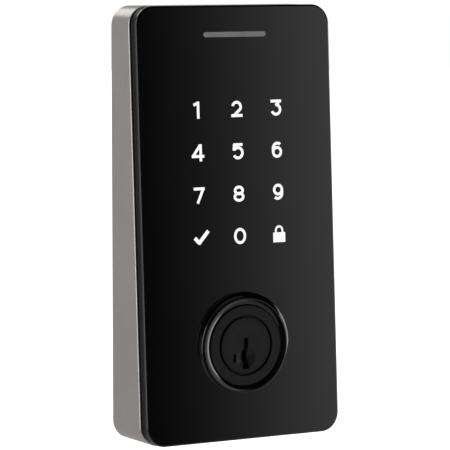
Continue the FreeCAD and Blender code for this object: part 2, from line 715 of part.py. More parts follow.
def make_plug():
    flange = f"-({FACE_DEPTH} - plug_flange_thick)"
    groove = "plug_core_radius - 0.7"
    body = turned("plug", [
        ("0", f"-{PLUG_BACK}"), ("plug_land_radius", f"-{PLUG_BACK}"),
        ("plug_land_radius", f"-{PLUG_BACK} + land_deep"),
        ("plug_face_radius", f"-{PLUG_BACK} + land_deep"),
        ("plug_face_radius", flange), ("plug_core_radius", flange),
        ("plug_core_radius", f"{BARREL_END} + 0.15"), (groove, f"{BARREL_END} + 0.15"),
        (groove, f"{BARREL_END} + 1.05"), ("plug_core_radius", f"{BARREL_END} + 1.05"),
        ("plug_core_radius", f"{BARREL_END} + 1.5"), ("0", f"{BARREL_END} + 1.5"),
    ])
    face = -value(PLUG_BACK)
    soften(body, "Chamfer", "0.15", lambda edge: flat_at(edge, face))
    sketch = new_sketch(body, lift=f"{PLUG_BACK} + 1")
    step = "-0.2 * keyway_bottom"
    draw_outline(sketch, [
        ("-keyway_upper / 2", "keyway_top"), ("-keyway_upper / 2", step),
        ("-keyway_lower / 2", f"{step} - 0.3"), ("-keyway_lower / 2", "-0.62 * keyway_bottom"),
        ("-keyway_lower / 2 + 0.5", "-0.68 * keyway_bottom"),
        ("-keyway_lower / 2 + 0.5", "-0.8 * keyway_bottom"),
        ("-keyway_lower / 2", "-0.86 * keyway_bottom"), ("-keyway_lower / 2", "-keyway_bottom"),
        ("keyway_lower / 2", "-keyway_bottom"), ("keyway_lower / 2", "-0.5 * keyway_bottom"),
        ("keyway_upper / 2", "-0.42 * keyway_bottom"), ("keyway_upper / 2", "keyway_top"),
    ])
    extrude(body, "Pocket", sketch, f"{PLUG_BACK} + 4", outward=False)
    sketch = new_sketch(body, lift=PLUG_BACK)
    draw_circle(sketch, "0", "-dish_drop", "dish_radius")
    dish = extrude(body, "Pocket", sketch, "dish_depth", outward=False)
    dish.TaperAngle = -60
    sketch = new_sketch(body, lift=PLUG_BACK)
    draw_box(sketch, "tool_slot_width", "tool_slot_tall", "-4.1", "-3.8")
    extrude(body, "Pocket", sketch, "20", outward=False)
    # five pin chambers, open at the top under the closing strip
    for radius, level, outward in (
        ("pin_collar + pin_play", "chamber_floor", True),
        ("pin_shank + pin_play", "chamber_floor", False),
    ):
        sketch = new_sketch(body, plane="XY", lift=level)
        draw_circle(sketch, "0", pin_depth(0), radius)
        hole = extrude(body, "Pocket", sketch, "10" if outward else "1", outward)
        repeat(body, hole, [("V_Axis", "4 * pin_pitch", 5, False)])
    sketch = new_sketch(body, plane="XY", lift="strip_floor")
    draw_box(sketch, "3.8", "4 * pin_pitch + 4", "0", pin_depth(2))
    extrude(body, "Pocket", sketch, "5", outward=True)
    # sidebar slot on the left
    sketch = new_sketch(body, lift=f"{FACE_DEPTH} - 5.2")
    draw_box(sketch, "3", "1.5", "-plug_core_radius + 1.0", "0")
    extrude(body, "Pocket", sketch, "17.6", outward=False)
    # driving lug for the tail
    sketch = new_sketch(body, plane="YZ")
    end = f"{BARREL_END} + 1.4"
    draw_outline(sketch, [
        (end, "-3.6"), (f"{BARREL_END} + 4.1", "-3.6"),
        (f"{BARREL_END} + 4.1", "-hub_radius + 0.2"), (end, "-hub_radius + 0.2"),
    ])
    spin(body, "Revolution", sketch, axis="H_Axis", angle="36")


def make_strip():
    block = doc.addObject("Part::Box", "StripBlock")
    rod = doc.addObject("Part::Cylinder", "StripRod")
    for setting, expression in (("Length", "3.7"), ("Width", "4 * pin_pitch + 3.9"),
                                ("Height", "2")):
        block.setExpression(setting, full(expression))
    move_by(block, ("-1.85", f"{pin_depth(0)} - 1.95", "strip_floor"))
    rod.setExpression("Radius", full("plug_core_radius - 0.05"))
    rod.Height = 60
    rod.Placement = FreeCAD.Placement(Vector(0, 30, 0), FreeCAD.Rotation(Vector(1, 0, 0), 90))
    strip = doc.addObject("Part::MultiCommon", "StripCommon")
    strip.Shapes = [block, rod]
    keep(strip, "chamber_strip")


def make_sidebar():
    body = new_body("sidebar")
    sketch = new_sketch(body, lift=f"{FACE_DEPTH} - 5.3")
    right = "-plug_core_radius + 2.45"
    left = "-plug_core_radius + 0.15"
    draw_outline(sketch, [
        (right, "-0.7"), (right, "0.7"), (f"{left} + 0.5", "0.7"),
        (left, "0.3"), (left, "-0.3"), (f"{left} + 0.5", "-0.7"),
    ])
    extrude(body, "Pad", sketch, "17.4", outward=False)


def make_pin(number):
    body = new_body(f"key_pin_{number + 1}", place=("0", pin_depth(number), "chamber_floor"))
    sketch = new_sketch(body)
    draw_outline(sketch, [
        ("0", "-shank_long"), ("0.15", "-shank_long"), ("pin_shank", "0.5 - shank_long"),
        ("pin_shank", "0"), ("pin_collar", "0"), ("pin_collar", "collar_tall"),
        ("0", "collar_tall"),
    ])
    spin(body, "Revolution", sketch)


def make_pin_spring(number):
    body = new_body(f"pin_spring_{number + 1}",
                    place=("0", pin_depth(number), "chamber_floor + collar_tall"))
    sketch = new_sketch(body)
    draw_circle(sketch, "pin_collar - 0.3", "spring_wire / 2", "spring_wire / 2")
    coil = body.newObject("PartDesign::AdditiveHelix", "Coil")
    coil.Profile = sketch
    coil.ReferenceAxis = (sketch, ["V_Axis"])
    coil.Mode = "pitch-height-angle"
    room = "strip_floor - chamber_floor - collar_tall - spring_wire - 0.02"
    coil.setExpression("Height", full(room))
    coil.setExpression("Pitch", full(f"({room}) / 3.75"))


def make_clip():
    inner = "plug_core_radius - 0.65"
    body = turned("retaining_clip", [
        (inner, f"{BARREL_END} + 0.15"), ("clip_radius", f"{BARREL_END} + 0.15"),
        ("clip_radius", f"{BARREL_END} + 1.05"), (inner, f"{BARREL_END} + 1.05"),
    ], angle="318")
    return body


def make_tail_cap():
    turned("tail_cap", [
        ("hub_radius + 0.4", f"{BARREL_END} + 1.5"), ("hub_radius + 2.1", f"{BARREL_END} + 1.5"),
        ("hub_radius + 2.1", f"{BARREL_END} + 5.6"), ("4.6", f"{BARREL_END} + 5.6"),
        ("4.6", f"{BARREL_END} + 4.8"), ("hub_radius + 0.4", f"{BARREL_END} + 4.8"),
    ])


def make_blade():
    near, far = f"{BARREL_END} + 1.8", f"{BARREL_END} + 4.5"
    body = turned("torque_blade", [
        ("0", near), ("hub_radius", near), ("hub_radius", far), ("0", far),
    ])
    # opening that lets the blade lag the plug by lost_motion
    sketch = new_sketch(body, plane="YZ", turn="45")
    draw_outline(sketch, [
        (f"{near} - 1", "-3.3"), (f"{far} + 1", "-3.3"),
        (f"{far} + 1", "-hub_radius - 1"), (f"{near} - 1", "-hub_radius - 1"),
    ])
    spin(body, "Groove", sketch, axis="H_Axis", angle="lost_motion + 36 + 6")
    sketch = new_sketch(body, lift=f"-({far}) + 0.1")
    draw_box(sketch, "blade_thick", "blade_width")
    extrude(body, "Pad", sketch, "blade_length + 0.1", outward=False)
    # snap-off scores across the flat faces
    sketch = new_sketch(body, plane="XY")
    for sign in ("", "-"):
        root = f"{sign}(blade_thick / 2 - 0.35)"
        mouth = f"{sign}(blade_thick / 2 + 0.35)"
        draw_outline(sketch, [
            (root, f"{far} + 21.8"), (root, f"{far} + 22.4"),
            (mouth, f"{far} + 22.7"), (mouth, f"{far} + 21.5"),
        ])
    score = body.newObject("PartDesign::Pocket", "Scores")
    score.Profile = sketch
    score.Midplane = True
    score.Length = 20
    repeat(body, score, [("V_Axis", "24", 5, False)])
    end = value(f"{far} + blade_length")
    soften(body, "Chamfer", "0.5", lambda edge: flat_at(edge, end))


def make_back_plate():
    body = new_body("back_plate")
    sketch = new_sketch(body, lift="plate_recess")
    slack = "2 * shell_wall + 0.3"
    draw_rounded_box(
        sketch, f"panel_width - ({slack})", f"{SHELL_LENGTH} - ({slack})",
        "corner_radius - shell_wall", SHELL_MID,
    )
    extrude(body, "Pad", sketch, "plate_thick")
    sketch = new_sketch(body)
    draw_circle(sketch, "0", "0", "barrel_tail + 0.2")
    draw_circle(sketch, "-post_spread", "0", "post_radius + 0.15")
    draw_circle(sketch, "post_spread", "0", "post_radius + 0.15")
    draw_circle(sketch, "0", "cable_rise", "cable_radius")
    four_places(sketch, *PLATE_SCREWS, "screw_shank + 0.2")
    extrude(body, "Pocket", sketch, "0", through=True)
    sketch = new_sketch(body)
    four_places(sketch, *PLATE_SCREWS, "screw_head + 0.1")
    extrude(body, "Pocket", sketch, HEAD_SEAT)
    # shallow stiffening bead pressed into the front of the plate
    sketch = new_sketch(body, lift=f"{PLATE_FRONT} - 0.4")
    draw_rounded_box(sketch, "40", "46", "4", f"{SHELL_MID} + 30")
    draw_rounded_box(sketch, "37", "43", "2.5", f"{SHELL_MID} + 30")
    extrude(body, "Pocket", sketch, "1")


def make_gasket():
    body = new_body("door_gasket")
    sketch = new_sketch(body)
    for inset in ("0.65", "1.75"):
        draw_rounded_box(
            sketch, f"panel_width - 2 * {inset}", f"{SHELL_LENGTH} - 2 * {inset}",
            f"corner_radius - {inset}", SHELL_MID,
        )
    extrude(body, "Pad", sketch, "0.78")


def make_post(name, side):
    body = new_body(name, place=(f"{side} * post_spread", "0", "0"))
    lip = f"-({PLATE_FRONT} + 0.05)"
    sketch = new_sketch(body, plane="XY")
    draw_outline(sketch, [
        ("0", "-13.9"), ("post_radius", "-13.9"), ("post_radius", f"{lip} - 1.5"),
        ("post_radius + 0.7", f"{lip} - 1.5"), ("post_radius + 0.7", lip),
        ("post_radius", lip), ("post_radius", "post_reach"), ("0", "post_reach"),
    ])
    spin(body, "Revolution", sketch)
    sketch = new_sketch(body, lift="-post_reach")
    draw_circle(sketch, "0", "0", "post_thread")
    extrude(body, "Pocket", sketch, "post_thread_deep", outward=True)
    end = value("post_reach")
    soften(body, "Chamfer", "0.4", lambda edge: flat_at(edge, end))


def make_grommet():
    body = new_body("cable_grommet", place=("0", "0", "cable_rise"))
    sketch = new_sketch(body, plane="XY")
    outer, inner = "cable_radius + 1", "cable_radius - 1.4"
    front, back = f"-{PLATE_FRONT}", "-plate_recess"
    draw_outline(sketch, [
        (inner, f"{front} - 1"), (outer, f"{front} - 1"), (outer, front),
        ("cable_radius - 0.05", front), ("cable_radius - 0.05", back), (outer, back),
        (outer, f"{back} + 0.1"), (inner, f"{back} + 0.1"),
    ])
    spin(body, "Revolution", sketch)


# Outline of the cross recess in a screw head
CROSS = [
    (-0.22, -1.1), (0.22, -1.1), (0.22, -0.22), (1.1, -0.22), (1.1, 0.22), (0.22, 0.22),
    (0.22, 1.1), (-0.22, 1.1), (-0.22, 0.22), (-1.1, 0.22), (-1.1, -0.22), (-0.22, -0.22),
]


def make_screws(name, places, shank, panel, level, lead):
    """Four pan head screws driven from behind, heads bearing at this level."""
    body = new_body(name, panel=panel)
    side, high, low = places
    sketch = new_sketch(body, lift=level)
    four_places(sketch, side, high, low, "screw_head")
    extrude(body, "Pad", sketch, lead, outward=False)
    sketch = new_sketch(body, lift=level)
    four_places(sketch, side, high, low, "screw_shank")
    extrude(body, "Pad", sketch, shank)
    sketch = new_sketch(body, lift=f"{level} - ({lead})")
    for across in (f"-{side}", side):
        for rise in (high, low):
            draw_outline(sketch, [(f"{across} + {x}", f"{rise} + {y}") for x, y in CROSS])
    extrude(body, "Pocket", sketch, f"0.55 * {lead}", outward=True)


def make_sensor_board():
    body = new_body("touch_sensor_board", panel=True)
    sketch = new_sketch(body, lift=f"-{SENSOR_FRONT}")
    draw_rounded_box(sketch, "sensor_width", "sensor_length", "2", "sensor_rise")
    extrude(body, "Pad", sketch, "sensor_thick", outward=False)
    key_grid(body, "Pocket", "window_radius", f"-{SENSOR_FRONT}", "2", False)


def make_diffusers():
    body = new_body("key_diffusers", panel=True)
    key_grid(body, "Pad", "window_radius - 0.05", f"-{SENSOR_FRONT}", "sensor_thick - 0.2", False)


def make_leds():
    body = new_body("backlight_leds", panel=True)
    sketch = new_sketch(body, lift=f"-{SENSOR_REAR}")
    draw_box(sketch, "3", "1.6", "-pitch_across", "row_top")
    feature = extrude(body, "Pad", sketch, "0.9", outward=False)
    repeat(body, feature, KEY_STEPS)


def make_board():
    body = new_body("control_board", panel=True)
    sketch = new_sketch(body, lift=f"-{BOARD_FRONT}")
    draw_rounded_box(sketch, "board_width", "board_length", "2", "board_rise")
    extrude(body, "Pad", sketch, "board_thick", outward=False)
    sketch = new_sketch(body, lift=f"-{BOARD_FRONT}")
    four_places(sketch, *BOARD_SCREWS, "screw_shank + 0.2")
    extrude(body, "Pocket", sketch, "3", outward=False)


def make_block(name, wide, tall, thick, across, upward, front):
    """A plain electronic package standing on one of the boards."""
    body = new_body(name, panel=True)
    sketch = new_sketch(body, lift=f"-{front}")
    draw_box(sketch, wide, tall, across, upward)
    extrude(body, "Pad", sketch, thick, outward=False)
    return body


def make_electronics():
    make_sensor_board()
    make_diffusers()
    make_leds()
    make_board()
    make_block("board_link", "13", "4", f"{BOARD_FRONT} - {SENSOR_REAR}", "0", LINK_RISE,
               SENSOR_REAR)
    make_block("processor_chip", "10", "10", "1.4", "-8", "board_rise + 4", BOARD_REAR)
    make_block("radio_module", "12", "9", "2.2", "13", "board_rise - 4", BOARD_REAR)
    header = make_block("cable_header", "14", "6", "5.2", "0", "board_rise - 22", BOARD_REAR)
    sketch = new_sketch(header, lift=f"-({BOARD_REAR} + 5.2)")
    draw_box(sketch, "12", "4", "0", "board_rise - 22")
    extrude(header, "Pocket", sketch, "4", outward=True)
    pins = new_body("header_pins", panel=True)
    sketch = new_sketch(pins, lift=f"-({BOARD_REAR} + 1.2)")
    draw_box(sketch, "0.6", "0.6", "-5", "board_rise - 22")
    feature = extrude(pins, "Pad", sketch, "3.2", outward=False)
    repeat(pins, feature, [("H_Axis", "10", 6, False)])
    buzzer = new_body("buzzer", panel=True)
    sketch = new_sketch(buzzer, lift=f"-{BOARD_REAR}")
    draw_circle(sketch, "13", "board_rise + 17", "5.5")
    extrude(buzzer, "Pad", sketch, "4", outward=False)
    sketch = new_sketch(buzzer, lift=f"-({BOARD_REAR} + 4)")
    draw_circle(sketch, "13", "board_rise + 17", "1")
    extrude(buzzer, "Pocket", sketch, "2", outward=True)


make_shell()
make_cover()
make_seam_seal()
make_lens()
make_ring()
make_barrel()
make_plug()
make_strip()
make_sidebar()
for pin_number in range(5):
    make_pin(pin_number)
    make_pin_spring(pin_number)
make_clip()
make_tail_cap()
make_blade()
make_back_plate()
make_gasket()
make_post("mount_post_left", "-1")
make_post("mount_post_right", "1")
make_grommet()
make_electronics()
make_screws("cover_screws", COVER_SCREWS, "deck_thick + 2.2", True, f"-{DECK_REAR}", "1.2")
make_screws("board_screws", BOARD_SCREWS, "board_thick + 3", True, f"-{BOARD_REAR}", "1.3")
make_screws("plate_screws", PLATE_SCREWS, "6.5", False, HEAD_SEAT, "0.7")

doc.recompute()
faults = []
for item in doc.Objects:
    if any(word in item.State for word in ("Invalid", "Error")):
        faults.append(f"{item.Name} ({item.Label}): {item.State}")
for item in nodes:
    if item.Shape.isNull() or not item.Shape.isValid():
        faults.append(f"{item.Label}: shape is empty or invalid")
if faults:
    raise RuntimeError("; ".join(faults))

os.makedirs("parts", exist_ok=True)
for item in nodes:
    item.Shape.exportStep(f"parts/{item.Label}.step")
print(len(nodes), "sub-parts written")
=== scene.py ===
import math

import bmesh
import bpy
from mathutils import Matrix, Vector


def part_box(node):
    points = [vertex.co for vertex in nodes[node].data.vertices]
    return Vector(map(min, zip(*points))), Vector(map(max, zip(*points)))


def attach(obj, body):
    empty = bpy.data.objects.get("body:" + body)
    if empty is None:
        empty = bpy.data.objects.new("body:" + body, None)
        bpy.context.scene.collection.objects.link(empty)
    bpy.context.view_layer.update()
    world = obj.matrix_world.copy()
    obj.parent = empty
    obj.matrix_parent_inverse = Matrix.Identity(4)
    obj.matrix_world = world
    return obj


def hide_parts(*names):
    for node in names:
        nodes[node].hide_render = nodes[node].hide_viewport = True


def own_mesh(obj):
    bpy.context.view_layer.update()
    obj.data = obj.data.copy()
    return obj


# Keypad smart lock, outdoor unit: finishes, detailed pieces, light and camera
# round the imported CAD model. Row frame in metres: origin on the door face at the
# key cylinder axis, +X right seen from outdoors, +Y into the door, +Z up.

MM = 0.001
TILT = math.radians(3.05)
PANEL_DEPTH = 19.4 * MM
PANEL_RISE = 38.1 * MM
PANEL_AT_AXIS = PANEL_DEPTH + PANEL_RISE * math.tan(TILT)
FACE = -(PANEL_AT_AXIS + 1.9 * MM)

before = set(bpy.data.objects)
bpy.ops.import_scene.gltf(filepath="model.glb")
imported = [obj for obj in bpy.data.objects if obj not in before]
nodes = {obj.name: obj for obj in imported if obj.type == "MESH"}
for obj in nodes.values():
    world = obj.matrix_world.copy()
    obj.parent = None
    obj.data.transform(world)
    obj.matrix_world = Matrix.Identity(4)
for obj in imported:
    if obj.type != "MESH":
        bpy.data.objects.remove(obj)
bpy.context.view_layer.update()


# ---------------------------------------------------------------- materials


class Finish:
    """A small builder for one procedural Principled material."""

    def __init__(self, name, base, roughness, metallic=0.0, **sockets):
        self.material = bpy.data.materials.new(name)
        self.material.use_nodes = True
        self.tree = self.material.node_tree
        self.shader = self.tree.nodes["Principled BSDF"]
        self.set("Base Color", (*base, 1.0))
        self.set("Roughness", roughness)
        self.set("Metallic", metallic)
        for socket, number in sockets.items():
            self.set(socket.replace("_", " "), number)
        self.normal = None
        self.base = base
        self.roughness = roughness
        self.coords = self.add("ShaderNodeTexCoord").outputs["Object"]

    def set(self, socket, number):
        self.shader.inputs[socket].default_value = number

    def add(self, kind, **settings):
        node = self.tree.nodes.new(kind)
        for name, setting in settings.items():
            setattr(node, name, setting)
        return node

    def link(self, source, target):
        self.tree.links.new(source, target)

    def noise(self, stretch, scale, detail=4.0, rough=0.55, coords=None):
        """Noise in object space; stretch scales X, Y and Z before the noise."""
        place = self.add("ShaderNodeMapping")
        place.inputs["Scale"].default_value = stretch
        self.link(coords or self.coords, place.inputs["Vector"])
        node = self.add("ShaderNodeTexNoise")
        node.inputs["Scale"].default_value = scale
        node.inputs["Detail"].default_value = detail
        node.inputs["Roughness"].default_value = rough
        self.link(place.outputs["Vector"], node.inputs["Vector"])
        return node.outputs["Fac"]

    def spread(self, source, low, high, start=0.3, end=0.7):
        """Map a 0 to 1 signal to low..high."""
        node = self.add("ShaderNodeMapRange")
        for name, number in (
            ("From Min", start), ("From Max", end), ("To Min", low), ("To Max", high)
        ):
            node.inputs[name].default_value = number
        self.link(source, node.inputs["Value"])
        return node.outputs["Result"]

    def vary_roughness(self, source, amount):
        low, high = max(self.roughness - amount, 0.01), self.roughness + amount
        self.link(self.spread(source, low, high), self.shader.inputs["Roughness"])

    def vary_colour(self, source, darker, lighter):
        node = self.add("ShaderNodeMix", data_type="RGBA")
        node.inputs["A"].default_value = (*[c * darker for c in self.base], 1.0)
        node.inputs["B"].default_value = (*[min(c * lighter, 1.0) for c in self.base], 1.0)
        self.link(self.spread(source, 0.0, 1.0), node.inputs["Factor"])
        self.colour = node.outputs["Result"]
        self.link(self.colour, self.shader.inputs["Base Color"])

    def bump(self, source, strength, distance):
        node = self.add("ShaderNodeBump")
        node.inputs["Strength"].default_value = strength
        node.inputs["Distance"].default_value = distance
        self.link(source, node.inputs["Height"])
        if self.normal is not None:
            self.link(self.normal, node.inputs["Normal"])
        self.normal = node.outputs["Normal"]
        self.link(self.normal, self.shader.inputs["Normal"])

    def edge_wear(self, colour, amount):
        """Lighten the edges a little, where handling rubs the finish."""
        rounded = self.add("ShaderNodeBevel", samples=4)
        rounded.inputs["Radius"].default_value = 0.15 * MM
        geometry = self.add("ShaderNodeNewGeometry")
        match = self.add("ShaderNodeVectorMath", operation="DOT_PRODUCT")
        self.link(rounded.outputs["Normal"], match.inputs[0])
        self.link(geometry.outputs["Normal"], match.inputs[1])
        mask = self.spread(match.outputs["Value"], amount, 0.0, 0.75, 0.98)
        node = self.add("ShaderNodeMix", data_type="RGBA")
        self.link(self.colour, node.inputs["A"])
        node.inputs["B"].default_value = (*colour, 1.0)
        self.link(mask, node.inputs["Factor"])
        self.colour = node.outputs["Result"]
        self.link(self.colour, self.shader.inputs["Base Color"])

    def paint_groove_shade(self, reach):
        """Painted shade: darken the colour in narrow grooves and recesses, by ambient occlusion,
        where little light gets in.
        """
        open_sky = self.add("ShaderNodeAmbientOcclusion", samples=6)
        open_sky.inputs["Distance"].default_value = reach
        mask = self.spread(open_sky.outputs["AO"], 0.0, 1.0, 0.35, 0.85)
        shade = self.add("ShaderNodeMix", data_type="RGBA", blend_type="MULTIPLY")
        shade.inputs["Factor"].default_value = 1.0
        self.link(self.colour, shade.inputs["A"])
        self.link(mask, shade.inputs["B"])
        self.colour = shade.outputs["Result"]
        self.link(self.colour, self.shader.inputs["Base Color"])

    def around_axis(self):
        """Radius from the cylinder axis, angle round it, and depth, as coordinates."""
        split = self.add("ShaderNodeSeparateXYZ")
        self.link(self.coords, split.inputs["Vector"])
        flat = self.add("ShaderNodeCombineXYZ")
        self.link(split.outputs["X"], flat.inputs["X"])
        self.link(split.outputs["Z"], flat.inputs["Y"])
        length = self.add("ShaderNodeVectorMath", operation="LENGTH")
        self.link(flat.outputs["Vector"], length.inputs[0])
        joined = self.add("ShaderNodeCombineXYZ")
        self.link(length.outputs["Value"], joined.inputs["X"])
        self.link(split.outputs["Y"], joined.inputs["Y"])
        return joined.outputs["Vector"]


def satin_nickel():
    made = Finish("satin_nickel", (0.46, 0.428, 0.404), 0.3, 1.0)
    grain = made.noise((900.0, 900.0, 26.0), 3.0, 6.0, 0.62)
    cloud = made.noise((1.0, 1.0, 1.0), 45.0, 3.0)
    speck = made.noise((1.0, 1.0, 1.0), 5200.0, 2.0)
    made.vary_colour(cloud, 0.96, 1.05)
    made.edge_wear((0.72, 0.70, 0.66), 0.35)
    made.vary_roughness(grain, 0.05)
    made.bump(grain, 0.10, 0.00003)
    made.bump(speck, 0.05, 0.00001)
    return made.material


def black_cover():
    made = Finish("black_cover", (0.0065, 0.0065, 0.007), 0.34, 0.0, Specular_IOR_Level=0.06)
    spark = made.noise((1.0, 1.0, 1.0), 3800.0, 3.0, 0.6)
    cloud = made.noise((1.0, 1.0, 1.0), 60.0, 3.0)
    made.vary_colour(cloud, 0.85, 1.2)
    made.edge_wear((0.04, 0.04, 0.042), 0.5)
    made.vary_roughness(spark, 0.05)
    made.bump(spark, 0.18, 0.00002)
    return made.material


def gloss_panel():
    made = Finish("gloss_panel", (0.0016, 0.0016, 0.0018), 0.045, 0.0)
    made.set("IOR", 1.5)
    smear = made.noise((1.0, 1.0, 0.45), 38.0, 5.0, 0.6)
    fine = made.noise((1.0, 1.0, 1.0), 900.0, 2.0)
    made.vary_colour(smear, 0.8, 1.3)
    made.vary_roughness(smear, 0.018)
    made.bump(fine, 0.012, 0.000004)
    return made.material


def gloss_ring():
    made = Finish("gloss_ring", (0.002, 0.002, 0.0022), 0.07, 0.0)
    made.set("IOR", 1.5)
    smear = made.noise((1.0, 1.0, 1.0), 160.0, 4.0, 0.6)
    made.vary_colour(smear, 0.8, 1.3)
    made.vary_roughness(smear, 0.02)
    made.bump(smear, 0.01, 0.00001)
    return made.material


def white_legend():
    made = Finish("white_legend", (0.80, 0.80, 0.80), 0.35, 0.0)
    made.set("Emission Color", (1.0, 1.0, 1.0, 1.0))
    made.set("Emission Strength", 0.45)
    cloud = made.noise((1.0, 1.0, 1.0), 900.0, 3.0)
    made.vary_colour(cloud, 0.97, 1.03)
    made.vary_roughness(cloud, 0.05)
    return made.material


def grey_mark():
    made = Finish("grey_mark", (0.19, 0.19, 0.19), 0.35, 0.0)
    cloud = made.noise((1.0, 1.0, 1.0), 700.0, 3.0)
    made.vary_colour(cloud, 0.93, 1.07)
    made.vary_roughness(cloud, 0.06)
    return made.material


def turned_black():
    """Satin black plated zinc with the fine rings a lathe leaves on the face."""
    made = Finish("turned_black", (0.012, 0.012, 0.0125), 0.3, 0.0, Specular_IOR_Level=0.14)
    turned = made.around_axis()
    rings = made.noise((1.0, 1.0, 1.0), 2600.0, 4.0, 0.7, turned)
    broad = made.noise((1.0, 1.0, 1.0), 420.0, 2.0, 0.5, turned)
    speck = made.noise((1.0, 1.0, 1.0), 3000.0, 3.0)
    made.vary_colour(broad, 0.8, 1.25)
    # Painted shade: base colour darkened by ambient occlusion in the narrow grooves round the plug
    # and in the keyway.
    made.paint_groove_shade(1.2 * MM)
    made.vary_roughness(speck, 0.06)
    made.bump(rings, 0.14, 0.00002)
    made.bump(speck, 0.08, 0.00001)
    return made.material


def machined(name, base, roughness, stretch=(1.0, 1.0, 1.0), scale=1500.0):
    """Bare metal with tool marks, slight staining and brighter edges."""
    made = Finish(name, base, roughness, 1.0)
    marks = made.noise(stretch, scale, 4.0, 0.6)
    cloud = made.noise((1.0, 1.0, 1.0), 120.0, 4.0)
    made.vary_colour(cloud, 0.86, 1.1)
    made.edge_wear([min(c * 1.35, 1.0) for c in base], 0.6)
    made.vary_roughness(marks, 0.08)
    made.bump(marks, 0.15, 0.00002)
    return made.material


def moulded(name, base, roughness, scale=2500.0, shine=0.25):
    """Moulded plastic or rubber with a fine spark-eroded texture."""
    made = Finish(name, base, roughness, 0.0, Specular_IOR_Level=shine)
    spark = made.noise((1.0, 1.0, 1.0), scale, 3.0, 0.6)
    cloud = made.noise((1.0, 1.0, 1.0), 90.0, 3.0)
    made.vary_colour(cloud, 0.85, 1.15)
    made.vary_roughness(spark, 0.06)
    made.bump(spark, 0.2, 0.00002)
    return made.material


def circuit():
    made = Finish("circuit_board", (0.012, 0.085, 0.035), 0.32, 0.0)
    weave = made.add("ShaderNodeTexBrick")
    weave.inputs["Scale"].default_value = 260.0
    weave.inputs["Mortar Size"].default_value = 0.09
    weave.inputs["Color1"].default_value = (0.013, 0.09, 0.037, 1.0)
    weave.inputs["Color2"].default_value = (0.011, 0.075, 0.03, 1.0)
    weave.inputs["Mortar"].default_value = (0.022, 0.13, 0.055, 1.0)
    turn = made.add("ShaderNodeMapping")
    turn.inputs["Rotation"].default_value = (math.pi / 2, 0.0, 0.0)
    made.link(made.coords, turn.inputs["Vector"])
    made.link(turn.outputs["Vector"], weave.inputs["Vector"])
    made.link(weave.outputs["Color"], made.shader.inputs["Base Color"])
    made.bump(weave.outputs["Fac"], 0.3, 0.00003)
    return made.material


NICKEL = satin_nickel()
COVER = black_cover()
PANEL = gloss_panel()
RING = gloss_ring()
LEGEND = white_legend()
MARK = grey_mark()
TURNED = turned_black()
BRASS = machined("machined_brass", (0.62, 0.44, 0.19), 0.28)
SPRING = machined("spring_wire", (0.58, 0.57, 0.55), 0.25)
ZINC = machined("cast_zinc", (0.46, 0.46, 0.47), 0.42, scale=900.0)
BLADE = machined("rolled_steel", (0.50, 0.50, 0.50), 0.34, (9.0, 0.25, 9.0), 400.0)
PLATE = machined("plated_steel", (0.52, 0.52, 0.50), 0.36, (0.3, 1.0, 6.0), 500.0)
SCREW = machined("screw_steel", (0.50, 0.50, 0.49), 0.3)
TIN = machined("tinned_shield", (0.62, 0.62, 0.60), 0.3)
RUBBER = moulded("black_rubber", (0.018, 0.018, 0.018), 0.7)
SEAL = moulded("seal_rubber", (0.004, 0.004, 0.004), 0.8, shine=0.04)
CHIP = moulded("chip_epoxy", (0.014, 0.014, 0.015), 0.5)
HEADER = moulded("header_nylon", (0.55, 0.53, 0.47), 0.45)
DIFFUSER = moulded("milky_diffuser", (0.78, 0.78, 0.75), 0.4)
LED = moulded("led_resin", (0.85, 0.80, 0.55), 0.25)
BOARD = circuit()

FINISHES = {
    "housing_shell": NICKEL, "front_cover": COVER, "touch_lens": PANEL, "top_mark": MARK,
    "trim_ring": RING, "cylinder_body": TURNED, "plug": TURNED, "sidebar": BRASS,
    "chamber_strip": BRASS, "retaining_clip": SPRING, "tail_cap": ZINC, "torque_blade": BLADE,
    "back_plate": PLATE, "mount_post_left": PLATE, "mount_post_right": PLATE,
    "cover_screws": SCREW, "board_screws": SCREW, "plate_screws": SCREW, "header_pins": SCREW,
    "door_gasket": RUBBER, "seam_seal": SEAL, "cable_grommet": RUBBER, "control_board": BOARD,
    "touch_sensor_board": BOARD, "processor_chip": CHIP, "buzzer": CHIP, "radio_module": TIN,
    "cable_header": HEADER, "board_link": HEADER, "key_diffusers": DIFFUSER,
    "backlight_leds": LED,
}
for name, node in nodes.items():
    finish = FINISHES.get(name)
    if name.startswith("key_legend"):
        finish = LEGEND
    elif name.startswith("key_pin"):
        finish = BRASS
    elif name.startswith("pin_spring"):
        finish = SPRING
    node.data.materials.clear()
    node.data.materials.append(finish)


def round_edges(name, width, segments=3, angle=30.0):
    """Break a CAD node's sharp edges so that they catch the light."""
    modifier = nodes[name].modifiers.new("edges", "BEVEL")
    modifier.width = width
    modifier.segments = segments
    modifier.limit_method = "ANGLE"
    modifier.angle_limit = math.radians(angle)
    modifier.harden_normals = True
    modifier.use_clamp_overlap = True


# ---------------------------------------------------------------- trim ring

RING_BORE, RING_CREST, RING_FOOT = 12.8 * MM, 14.8 * MM, 16.6 * MM
FACE_PROUD = 1.9 * MM
LIP_RADIUS = 4.4 * MM
CREST_ROUND = 0.16 * MM
FOOT_BEND = (RING_CREST + 0.3 * MM, 1.6 * MM)
BURIED = 0.02 * MM
RING_STEPS = 192


